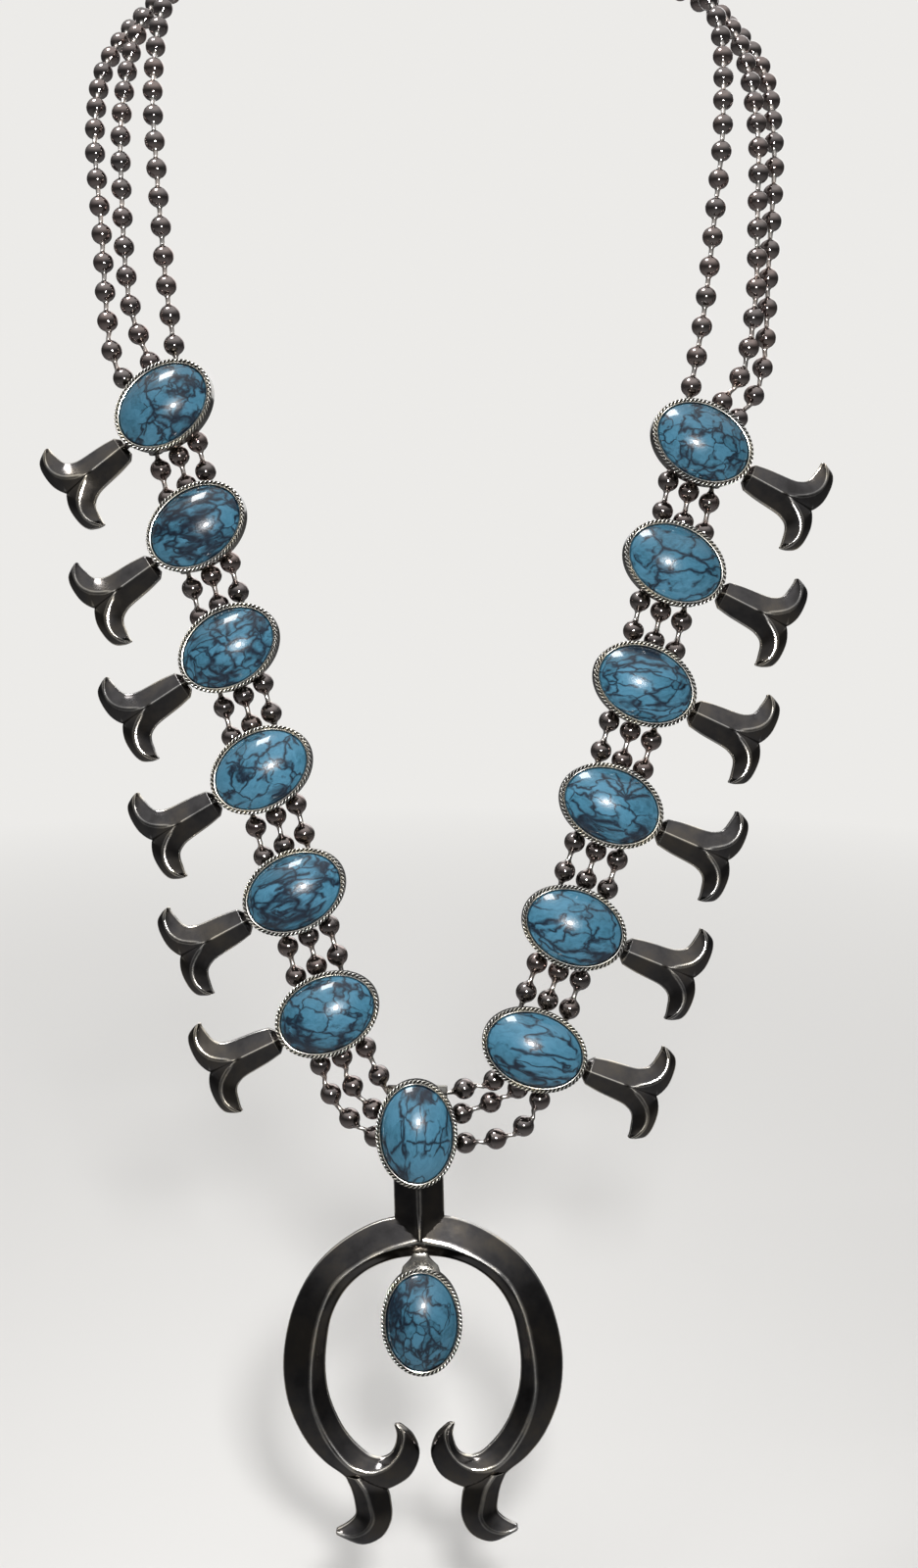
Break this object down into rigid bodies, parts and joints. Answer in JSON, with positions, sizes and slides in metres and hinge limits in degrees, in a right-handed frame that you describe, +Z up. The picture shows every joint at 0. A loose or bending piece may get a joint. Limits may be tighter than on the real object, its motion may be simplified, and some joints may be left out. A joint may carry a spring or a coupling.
{
  "type": "squash blossom necklace",
  "caption": "Necklace of oval blue cabochons in rope-edged cups on three bead strands, with side blossoms and a crescent pendant round a drop stone.",
  "frame": {"origin": "middle of the neck's side of the clasp at the nape, where the necklace hangs", "axes": "+X to the right and -Y to the front as someone facing the wearer sees them, +Z up"},
  "size_m": [0.2003, 0.1676, 0.4293],
  "materials": {
    "setting_metal": "antiqued silver with bright rope edges",
    "dark_metal": "dark antiqued metal, polished facets with bright ridges",
    "stone": "polished blue cabochon with dark veins",
    "bead_metal": "dark polished beads",
    "thread_metal": "polished wire"
  },
  "bodies": {
    "root": {"setting_left_1": "setting_metal", "setting_left_2": "setting_metal", "setting_left_3": "setting_metal", "setting_left_4": "setting_metal", "setting_left_5": "setting_metal", "setting_left_6": "setting_metal", "setting_right_1": "setting_metal", "setting_right_2": "setting_metal", "setting_right_3": "setting_metal", "setting_right_4": "setting_metal", "setting_right_5": "setting_metal", "setting_right_6": "setting_metal", "stone_left_1": "stone", "stone_left_2": "stone", "stone_left_3": "stone", "stone_left_4": "stone", "stone_left_5": "stone", "stone_left_6": "stone", "stone_right_1": "stone", "stone_right_2": "stone", "stone_right_3": "stone", "stone_right_4": "stone", "stone_right_5": "stone", "stone_right_6": "stone", "blossom_left_1": "dark_metal", "blossom_left_2": "dark_metal", "blossom_left_3": "dark_metal", "blossom_left_4": "dark_metal", "blossom_left_5": "dark_metal", "blossom_left_6": "dark_metal", "blossom_right_1": "dark_metal", "blossom_right_2": "dark_metal", "blossom_right_3": "dark_metal", "blossom_right_4": "dark_metal", "blossom_right_5": "dark_metal", "blossom_right_6": "dark_metal", "centre_setting": "setting_metal", "centre_stone": "stone", "naja": "dark_metal", "drop_stone": "stone", "beads_inner": "bead_metal", "beads_middle": "bead_metal", "beads_outer": "bead_metal", "thread_inner": "thread_metal", "thread_middle": "thread_metal", "thread_outer": "thread_metal", "clasp": "setting_metal"}
  },
  "joints": []
}
